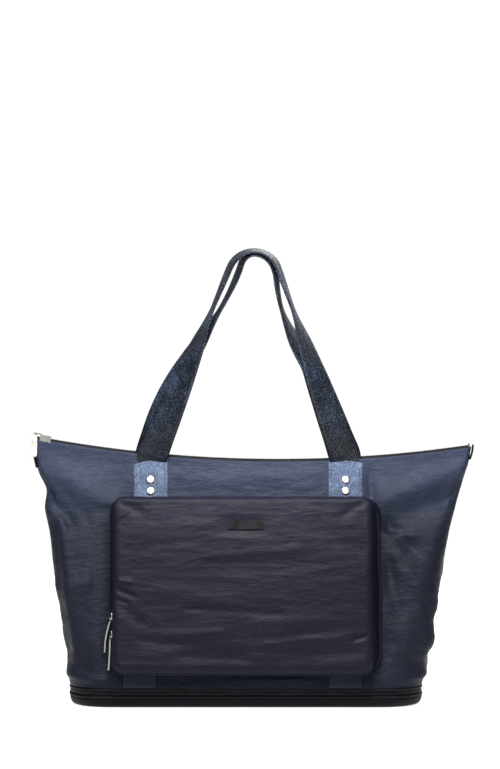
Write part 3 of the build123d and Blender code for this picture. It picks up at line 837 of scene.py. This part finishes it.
def make_end_tab(name, side, long, node):
    """A folded bit of tape over the zip's end, that hangs down along the body's corner."""
    end_x = ZIP_LEFT_X if side < 0 else ZIP_RIGHT_X
    share = np.linspace(0, 1, TAB_STEPS)
    z = arc_z(end_x, 1.0) - long * share
    x = side_edge(z, side) + side * (1.0 + 0.9 * np.sin(math.pi * share))
    x = np.where(side < 0, np.maximum(x, CAD_BOX[0][0] / MM), np.minimum(x, CAD_BOX[1][0] / MM))
    centres = np.stack([x, np.zeros(TAB_STEPS), z], axis=-1)
    across = np.broadcast_to((0, 1.0, 0), centres.shape)
    out = np.broadcast_to((side, 0, 0.0), centres.shape)
    dress(ribbon(name, centres, across, out, TAB_WIDE, TAB_THICK), TAPE, "upper", "body_nylon", node)


# ---- handles, patches and straps ----
FOOT_Z = 284.5
ARCH_TOP_Z = 527.0
ARCH_RADIUS = 30.0
HANDLE_THICK = 3.0
HANDLE_NEST = 3.5
HANDLE_Y = BASE_DEEP - TAPER * (FOOT_Z - BAND_TOP) + 2.4
# How far the webbing is turned, in degrees, at each share of a leg's length.
TWIST = [(0.0, 6), (0.1, 26), (0.2, 33), (0.3, 41), (0.4, 48), (0.5, 57), (0.62, 67), (0.7, 79), (0.77, 87),
         (0.85, 85), (0.93, 82), (1.0, 81)]
APEX_TWIST = 86.0
LEG_STEPS = 70
ARCH_STEPS = 14
SEWN_STEPS = 10
SEWN_W = 0.55
SEWN_LOW_Z = 258.0
PATCH_TOP_Z = 281.0
SEWN_THICK = 0.8


def handle_centre(side, arch, sway, mirror):
    """Half a handle from its foot to the top of its arch: centre points, and the direction of its width at
    each.
    """
    centre_z = ARCH_TOP_Z - HANDLE_THICK / 2 - ARCH_RADIUS
    rise = centre_z - FOOT_Z
    reach = math.hypot(HANDLE_HALF, rise)
    slant = math.atan2(HANDLE_HALF, rise) - math.asin(arch / reach)
    leg = math.sqrt(reach**2 - arch**2)
    centres = []
    across = []
    turns, degrees = zip(*TWIST)
    for share in np.linspace(0, 1, LEG_STEPS):
        x = HANDLE_HALF - share * leg * math.sin(slant)
        z = FOOT_Z + share * leg * math.cos(slant)
        twist = math.radians(np.interp(share, turns, degrees))
        tilt = slant * smooth(share / 0.12)
        y = side * HANDLE_Y * (1 - share)
        centres.append((mirror * x + sway(mirror, share), y, z))
        flat = math.cos(twist)
        across.append((flat * math.cos(tilt), mirror * math.sin(twist), flat * math.sin(tilt) * mirror))
    for step in range(1, ARCH_STEPS + 1):
        angle = slant + (math.pi / 2 - slant) * step / ARCH_STEPS
        share = step / ARCH_STEPS
        drift = sway(mirror, 1.0) * (1 - share)
        centres.append((mirror * arch * math.cos(angle) + drift, 0, centre_z + arch * math.sin(angle)))
        twist = math.radians(degrees[-1] + (APEX_TWIST - degrees[-1]) * smooth(share))
        outward = np.array([mirror * math.cos(angle), 0, math.sin(angle)])
        across.append(mirror * (math.cos(twist) * outward + math.sin(twist) * np.array([0, 1.0, 0])))
    return np.array(centres), np.array(across)


def foot_run(x, side):
    """Points up the leaning face, for the sewn end of a handle."""
    v = np.linspace(up_face(SEWN_LOW_Z), up_face(PATCH_TOP_Z), SEWN_STEPS)
    points = on_face(np.full(SEWN_STEPS, x), v, SEWN_W)
    points[:, 1] *= -side
    return points


def smoothed(values, passes):
    values = values.copy()
    for _ in range(passes):
        values[1:-1] = 0.5 * values[1:-1] + 0.25 * (values[:-2] + values[2:])
    return values


def handle_line(side, arch, sway):
    """A whole handle, foot to foot: centre points, and the direction of its width at each."""
    right, right_across = handle_centre(side, arch, sway, 1)
    left, left_across = handle_centre(side, arch, sway, -1)
    line = np.vstack([left, right[::-1][1:]])
    risen = (line[:, 2] - FOOT_Z) / (ARCH_TOP_Z - FOOT_Z)
    line[:, 0] += HANDLE_SHIFT + (HANDLE_LEAN - HANDLE_SHIFT) * risen
    left_foot, right_foot = [foot_run(x, side) for x in HANDLE_ENDS]
    flat = np.broadcast_to((1.0, 0, 0), (SEWN_STEPS, 3))
    widths = np.vstack([flat, left_across, right_across[::-1][1:], flat])
    # Each width points the same way as the one before it, so that the webbing never turns over at once.
    for k in range(1, len(widths)):
        if np.dot(widths[k], widths[k - 1]) < 0:
            widths[k] = -widths[k]
    return np.vstack([left_foot, line, right_foot[::-1]]), widths


def make_handle(name, side, arch, sway, node):
    line, widths = handle_line(side, arch, sway)
    line = smoothed(line, 3)
    widths = smoothed(widths, 6)
    ahead = unit(np.gradient(line, axis=0))
    widths = unit(widths - np.sum(widths * ahead, axis=1)[:, None] * ahead)
    out = np.cross(widths, ahead)
    sewn = smooth((line[:, 2] - 276) / 14)
    thick = SEWN_THICK + (HANDLE_THICK - SEWN_THICK) * sewn
    piece = ribbon(name, line, widths, out, WEBBING - 1.5 * (1 - sewn), thick, crown=0.4 * sewn)
    dress(piece, HANDLE, None, "webbing", node)
    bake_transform(piece)


def still(mirror, share):
    return 0.0


def back_sway(mirror, share):
    if mirror < 0:
        return -9.0 * math.sin(2 * math.pi * 0.8 * share)
    return -10.0 * math.sin(math.pi * min(max((share - 0.48) / 0.5, 0.0), 1.0)) - 1.0 * share


def make_handles():
    make_handle("handle_webbing_front", -1, ARCH_RADIUS, still, "handle_front")
    make_handle("handle_webbing_back", 1, ARCH_RADIUS - HANDLE_NEST, back_sway, "handle_back")


def make_patches():
    for label, (x, bottom_x, side, slant) in STRAPS.items():
        make_strap(f"strap_webbing_{label}", x, bottom_x, side, slant, f"strap_{label}")
        make_stitches(f"strap_stitches_{label}", x, side, slant)


STRAP_ROWS = 90
STRAP_COLUMNS = 16
STRAP_TOP_W = 2.0
STRAP_UNDER_W = 1.15


def make_strap(name, x, bottom_x, side, slant, node):
    """The strap from the piping up the face to the rim, with its brighter, wider top end; lower down, under
    the pocket, its material paints it darker, as painted shade.
    """
    us = np.linspace(-1, 1, STRAP_COLUMNS)
    sheets = []
    uvs = []
    for w in (STRAP_TOP_W, STRAP_UNDER_W):
        grid = []
        for share in np.linspace(0, 1, STRAP_ROWS):
            z = BAND_TOP + 1.0 + share * (PATCH_TOP_Z + slant * us - BAND_TOP - 1.0)
            wide = WEBBING / 2 + 0.7 * smooth((z - 230) / 8)
            line = on_face(strap_x(z, x, bottom_x) + us * wide, up_face(z), w - 0.45 * np.abs(us) ** 12)
            line[:, 1] *= -side
            grid.append(line)
            if w == STRAP_TOP_W:
                uvs.append(np.stack([us * WEBBING / 2, z], axis=-1))
        sheets.append(np.array(grid))
    both_uvs = np.vstack([np.array(uvs).reshape(-1, 2)] * 2)
    dress(closed_sheet(name, *sheets, both_uvs), PATCH, "upper", "webbing", node)


STITCH_PITCH = 3.6
STITCH_SHARE = 0.62      # how much of the pitch is thread
STITCH_INSET = 2.6
STITCH_LOW_Z = 244
STITCH_RADIUS = 0.36
STITCH_W = 1.98


def make_stitches(name, x, side, slant):
    """Running stitches down both edges of the patch and along its top."""
    half = WEBBING / 2 - STITCH_INSET
    edge_top = PATCH_TOP_Z - 3.0
    lines = [
        [(x - half, z) for z in np.arange(STITCH_LOW_Z, edge_top - slant, STITCH_PITCH)],
        [(x + half, z) for z in np.arange(STITCH_LOW_Z, edge_top + slant, STITCH_PITCH)],
        [(x + u, PATCH_TOP_Z - 2.0 + slant * u / half) for u in np.arange(-half, half, STITCH_PITCH)],
    ]
    out = OUT_OF_FACE
    verts = []
    faces = []
    for line in lines:
        for (x0, z0), (x1, z1) in zip(line, line[1:]):
            a = on_face(x0, up_face(z0), STITCH_W)
            b = on_face(x0 + STITCH_SHARE * (x1 - x0), up_face(z0 + STITCH_SHARE * (z1 - z0)), STITCH_W)
            ahead = unit(b - a)
            wide = np.cross(ahead, out)
            start = len(verts)
            for end, shrink in ((a, 0.4), (a + 0.2 * (b - a), 1), (b - 0.2 * (b - a), 1), (b, 0.4)):
                for angle in np.arange(ROD_SIDES) * 2 * math.pi / ROD_SIDES:
                    spoke = math.cos(angle) * wide + math.sin(angle) * out
                    verts.append(end + STITCH_RADIUS * shrink * spoke)
            close_rod(faces, start)
    verts = np.array(verts)
    verts[:, 1] *= -side
    dress(face_outward(make_object(name, verts, faces)), STITCH, "upper", "webbing")


# ---- the front pocket ----
POCKET_HALF = 151.5
POCKET_SHIFT = -3.6
POCKET_LOW = up_face(43.5, 28.0)
POCKET_TALL = up_face(244.5, 28.0) - POCKET_LOW
POCKET_MID = POCKET_LOW + POCKET_TALL / 2
POCKET_CORNER = 14.0
DOOR_LOW_W = 18.6
DOOR_W = 27.6
POCKET_PATH = (90, 8, 64)
PAD_GRID = (230, 170)
ZIP_END_V = POCKET_LOW + POCKET_CORNER


def pocket_loop(inset):
    """(x, v) round the pocket's outline, anticlockwise seen from the front, from the lower left corner."""
    loop = rounded_outline(POCKET_HALF - inset, POCKET_TALL / 2 - inset, POCKET_CORNER - inset, POCKET_PATH)
    return loop + (POCKET_SHIFT, POCKET_MID)


def rounded_patch(columns, rows, half_x, half_y, corner):
    """A grid over a rounded rectangle: every ring of the grid has the outline's own shape."""
    p, q = np.meshgrid(np.linspace(-1, 1, columns), np.linspace(-1, 1, rows))
    ring = np.maximum(np.abs(p), np.abs(q)) + 1e-9
    bx, by = p / ring * half_x, q / ring * half_y
    cx, cy = np.sign(bx) * (half_x - corner), np.sign(by) * (half_y - corner)
    in_corner = (np.abs(bx) > half_x - corner) & (np.abs(by) > half_y - corner)
    dx, dy = bx - cx, by - cy
    far = np.hypot(dx, dy) + 1e-9
    bx = np.where(in_corner, cx + dx / far * corner, bx)
    by = np.where(in_corner, cy + dy / far * corner, by)
    return ring * bx, ring * by


def edge_distance(x, y, half_x, half_y, corner):
    qx, qy = np.abs(x) - (half_x - corner), np.abs(y) - (half_y - corner)
    outside = np.hypot(np.maximum(qx, 0), np.maximum(qy, 0))
    return corner - outside - np.minimum(np.maximum(qx, qy), 0)


# Soft dents of the pocket's front: both ends as (x, v from the middle), height and width.
POCKET_DENTS = [
    ((-112, -68), (-62, -72), -1.5, 6),
    ((-66, -84), (-4, -86), -1.6, 7),
    ((-90, -62), (-30, -58), 1.1, 6),
    ((-150, -20), (-120, -44), -1.6, 7),
    ((20, -50), (96, -44), 1.1, 9),
    ((-30, 20), (70, 26), -0.9, 12),
    ((60, -86), (128, -80), -1.2, 9),
    ((-120, 60), (-40, 66), 0.9, 12),
    ((90, 62), (140, 40), -1.1, 11),
    ((-20, -20), (-110, -8), 0.8, 10),
    ((146, 100), (120, 84), -1.6, 6),
    ((-146, 100), (-122, 86), -1.4, 6),
    ((-152, -4), (-128, -14), -2.6, 3.2),
    ((-152, 4), (-132, 2), 1.8, 2.6),
    ((-152, -16), (-136, -22), -1.6, 2.6),
    ((-150, 88), (-138, 104), -2.4, 3.0),
    ((-149, 76), (-136, 84), 1.4, 3.0),
    ((-140, -100), (140, -101), -1.3, 2.2),
    ((148, -60), (130, -66), -1.5, 3.0),
    ((60, 40), (-40, 32), 0.9, 5),
    ((-60, -30), (40, -36), -0.9, 5),
    ((30, -70), (110, -64), 0.9, 4),
]


def make_pocket_front():
    half_y = POCKET_TALL / 2
    x, y = rounded_patch(*PAD_GRID, POCKET_HALF, half_y, POCKET_CORNER)
    inside = np.clip(edge_distance(x, y, POCKET_HALF, half_y, POCKET_CORNER), 0, None)
    round_over = np.clip(inside / 9.0, 0, 1)
    dome = np.sqrt(np.clip(1 - (1 - round_over) ** 2, 0, 1))
    crown = (1 - (x / POCKET_HALF) ** 2) * (1 - (y / half_y) ** 2)
    flat = np.stack([x, y, np.zeros_like(x)], axis=-1)
    height = (DOOR_W - DOOR_LOW_W) * dome + 3.0 * crown
    calm = smooth(inside / 12)
    height += calm * fold_lift(x, y, POCKET_DENTS)
    height += calm * 0.9 * cloth_noise(flat, (70, 48, 50), 31)
    height += calm * 0.42 * cloth_noise(flat, (44, 8, 50), 32)
    height += smooth(inside / 5) * 0.16 * cloth_noise(flat, (20, 3.4, 50), 33)
    height += 0.5 * smooth(inside / 4) * smooth((14 - inside) / 9) * cloth_noise(flat, (14, 11, 50), 34)
    # The pad stays flat under the badge.
    keep_flat = np.exp(-((x / 30) ** 4) - (((y - up_face(210, 28) + POCKET_MID) / 12) ** 4))
    height = height * (1 - keep_flat) + np.minimum(height, DOOR_W - DOOR_LOW_W + 0.35) * keep_flat
    front = on_face(x + POCKET_SHIFT, y + POCKET_MID, DOOR_LOW_W + height)
    back = on_face(x + POCKET_SHIFT, y + POCKET_MID, np.full_like(x, DOOR_LOW_W - 0.4))
    pad = closed_sheet("pocket_pad", front, back)
    dress(pad, POCKET_NYLON, "pocket_door", "pocket_nylon", "pocket_front")


WALL_LOW_W = 0.4
WALL_DEEP = 13.2
GUSSET_FLARE = 9.0
GUSSET_FLARE_LEFT = 2.5
POCKET_SAG = 13.0        # the wall meets the body this much higher than the pocket's lower edge


def make_pocket_side():
    """The pocket's wall, spread a little towards the body at the sides."""
    loop = pocket_loop(0.0)
    rows = []
    x = loop[:, 0]
    sideways = smooth((np.abs(x) - 120) / 33) * smooth((loop[:, 1] - POCKET_LOW - 4) / 16)
    for share in np.linspace(0, 1, 12):
        w = WALL_LOW_W + share * WALL_DEEP
        spread = np.where(x > 0, GUSSET_FLARE, GUSSET_FLARE_LEFT) * (1 - share) ** 1.5
        bulge = math.sin(math.pi * share)
        moved = x + np.sign(x) * spread * sideways
        v = loop[:, 1] + bulge * smooth((loop[:, 1] - POCKET_MID - 90) / 12)
        v += POCKET_SAG * (1 - share) * smooth((POCKET_MID - 78 - v) / 22)
        line = on_face(moved, v, w)
        line += 0.35 * cloth_noise(line, (24, 12, 18), 41)[:, None] * np.array((1.0, 0, 1.0))
        rows.append(line)
    wall = grid_object("pocket_wall", np.array(rows), close=True)
    thicken(wall, 1.2, 0.0)
    dress(face_outward(wall), POCKET_NYLON, "upper", "pocket_nylon", "pocket_gusset")


FLANGE_RADIUS = 1.8
FLANGE_OUT = 6.6
FLANGE_W = 5.0


def make_pocket_flange():
    """The raised seam down the right of the pocket's wall, close to the body."""
    v = np.linspace(POCKET_LOW + 12, POCKET_LOW + POCKET_TALL - 14, 90)
    share = np.linspace(0, 1, len(v))
    tuck = 4.0 * (1 - smooth(share / 0.06) * smooth((1 - share) / 0.06))
    wander = 0.7 * np.sin(5.0 * share) + 0.3 * np.sin(17.0 * share)
    x = POCKET_HALF + POCKET_SHIFT + FLANGE_OUT - tuck + wander
    seam = tube("pocket_flange", on_face(x, v, np.full(len(v), FLANGE_W)), FLANGE_RADIUS, closed=False)
    dress(seam, POCKET_NYLON, "upper", "pocket_nylon")


def zip_part(loop):
    """The part of a pocket loop that the zip takes: up one side, over the top and down the other."""
    away = np.abs(loop[:, 1] - ZIP_END_V)
    start = np.argmin(np.where(loop[:, 0] > 0, away, np.inf))
    end = np.argmin(np.where(loop[:, 0] < 0, away, np.inf))
    order = np.arange(start, end if end > start else end + len(loop)) % len(loop)
    return loop[order]


# How far out from the face each half of the pocket's zip is: its tape's edges, and its teeth.
REAR_ZIP_W = ((13.0, 14.6), 14.9)
FRONT_ZIP_W = ((16.2, 18.8), 15.85)
POCKET_TEETH_PITCH = 2.0


def make_pocket_zip():
    even = even_path(zip_part(pocket_loop(0.6)), POCKET_TEETH_PITCH)
    for part, body, tape_w, coil_w in (
        ("rear", "upper", *REAR_ZIP_W),
        ("front", "pocket_door", *FRONT_ZIP_W),
    ):
        rows = [on_face(even[:, 0], even[:, 1], w) for w in np.linspace(*tape_w, 4)]
        tape = grid_object(f"pocket_tape_{part}", np.array(rows))
        thicken(tape, 0.9, 0.0)
        dress(face_outward(tape), TAPE, body, "zip_tape", f"pocket_zip_tape_{part}")
        points = on_face(even[:, 0], even[:, 1], coil_w)
        away = np.cross(unit(np.gradient(points, axis=0)), OUT_OF_FACE)
        across = np.broadcast_to(OUT_OF_FACE, points.shape)
        row = teeth(f"pocket_teeth_{part}", points, across, away, 1.0, 1.2, 1.7)
        dress(row, COIL, body, "zip_coil", f"pocket_coil_{part}")


HINGE_ROWS = 10
HINGE_LOW_W = 12.6
HINGE_DEEP = 7.4
HINGE_BEND_W = (13.4, 18.6)


def make_pocket_hinge():
    """The cloth along the pocket's bottom, where the front folds down."""
    xs = np.linspace(-POCKET_HALF + 12, POCKET_HALF - 12, 120) + POCKET_SHIFT
    rows = []
    for share in np.linspace(0, 1, HINGE_ROWS):
        w = HINGE_LOW_W + share * HINGE_DEEP
        v = POCKET_LOW + 0.3 - 0.9 * math.sin(math.pi * share)
        rows.append(on_face(xs, np.full(len(xs), v), w))
    cloth = grid_object("pocket_hinge_cloth", np.array(rows))
    thicken(cloth, 0.8, 0.0)
    dress(face_outward(cloth), POCKET_NYLON, None, "pocket_nylon")
    start, end = (tuple((on_face(0.0, POCKET_LOW, w) * MM).tolist()) for w in HINGE_BEND_W)
    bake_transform(cloth)


# ---- CAD nodes that keep their shape ----
RIVET_NODES = ["rivets_front", "rivets_back", "rivet_washers_front", "rivet_washers_back", "badge_washer"]
ZIP_METAL_NODES = [
    "top_slider", "top_puller", "expansion_slider", "expansion_puller", "pocket_slider_upper",
    "pocket_slider_lower", "pocket_puller_upper", "pocket_puller_lower", "top_zip_stops",
]


def finish_node(name, material):
    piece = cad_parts[name]
    if not piece.material_slots:
        piece.data.materials.append(material)
    for slot in piece.material_slots:
        slot.material = material


def dress_nodes():
    for name in RIVET_NODES:
        finish_node(name, NICKEL)
    for name in ZIP_METAL_NODES:
        finish_node(name, PULL_METAL)
    finish_node("badge_plate", DARK_METAL)


# ---- studio ----
SOFT_LIGHT = 0.5
FLOOR_GLOW = 0.82
FLOOR_HALF = 1500.0


def add_area(name, place, aim, size, power):
    data = bpy.data.lights.new(name, "AREA")
    data.shape = "RECTANGLE"
    data.size, data.size_y = size
    data.energy = power
    lamp = bpy.data.objects.new(name, data)
    bpy.context.collection.objects.link(lamp)
    lamp.location = place
    lamp.rotation_euler = (Vector(aim) - Vector(place)).to_track_quat("-Z", "Y").to_euler()


def make_studio():
    verts = [(x * FLOOR_HALF, y * FLOOR_HALF, -0.3) for x, y in ((-1, -1), (1, -1), (1, 1), (-1, 1))]
    floor = make_object("floor", verts, [(0, 1, 2, 3)])
    n = Nodes("studio_floor")
    grain = n.noise(n.place(), 3.0, 2.0)
    n.finish(n.ramp(grain, [(0.3, (0.55, 0.55, 0.55)), (0.7, (0.57, 0.57, 0.57))]), 0.9, None)
    n.constants({"Emission Color": (1, 1, 1, 1), "Emission Strength": FLOOR_GLOW, "Specular IOR Level": 0.0})
    floor.data.materials.append(n.material)
    world = bpy.data.worlds.new("studio")
    world.use_nodes = True
    tree = world.node_tree
    backdrop = tree.nodes["Background"]
    backdrop.inputs["Color"].default_value = (1, 1, 1, 1)
    backdrop.inputs["Strength"].default_value = 1.05
    soft = tree.nodes.new("ShaderNodeBackground")
    soft.inputs["Strength"].default_value = SOFT_LIGHT
    seen = tree.nodes.new("ShaderNodeLightPath")
    mixed = tree.nodes.new("ShaderNodeMixShader")
    tree.links.new(seen.outputs["Is Camera Ray"], mixed.inputs[0])
    tree.links.new(soft.outputs[0], mixed.inputs[1])
    tree.links.new(backdrop.outputs[0], mixed.inputs[2])
    tree.links.new(mixed.outputs[0], tree.nodes["World Output"].inputs["Surface"])
    bpy.context.scene.world = world
    bpy.context.scene.view_settings.view_transform = "Standard"
    add_area("key", (-0.8, -1.5, 1.6), (0, 0, 0.22), (0.8, 0.8), 24)
    add_area("fill", (1.7, -1.7, 0.9), (0, 0, 0.2), (0.9, 1.3), 5)
    add_area("over", (0.0, -0.34, 0.7), (0, 0, 0.27), (0.42, 0.16), 11)
    add_area("rear", (0.6, 1.9, 1.5), (0, 0, 0.2), (1.2, 1.2), 36)


# ---- everything, in order ----
make_body()
make_base()
make_piping("piping_cord_lower", LOWER_PIPING_Z, "base", "lower_piping", 51)
make_piping("piping_cord_upper", UPPER_PIPING_Z, "upper", "upper_piping", 53)
make_expansion_zip()
make_top_zip()
make_handles()
make_patches()
make_pocket_front()
make_pocket_side()
make_pocket_flange()
make_pocket_zip()
make_pocket_hinge()
dress_nodes()
make_studio()
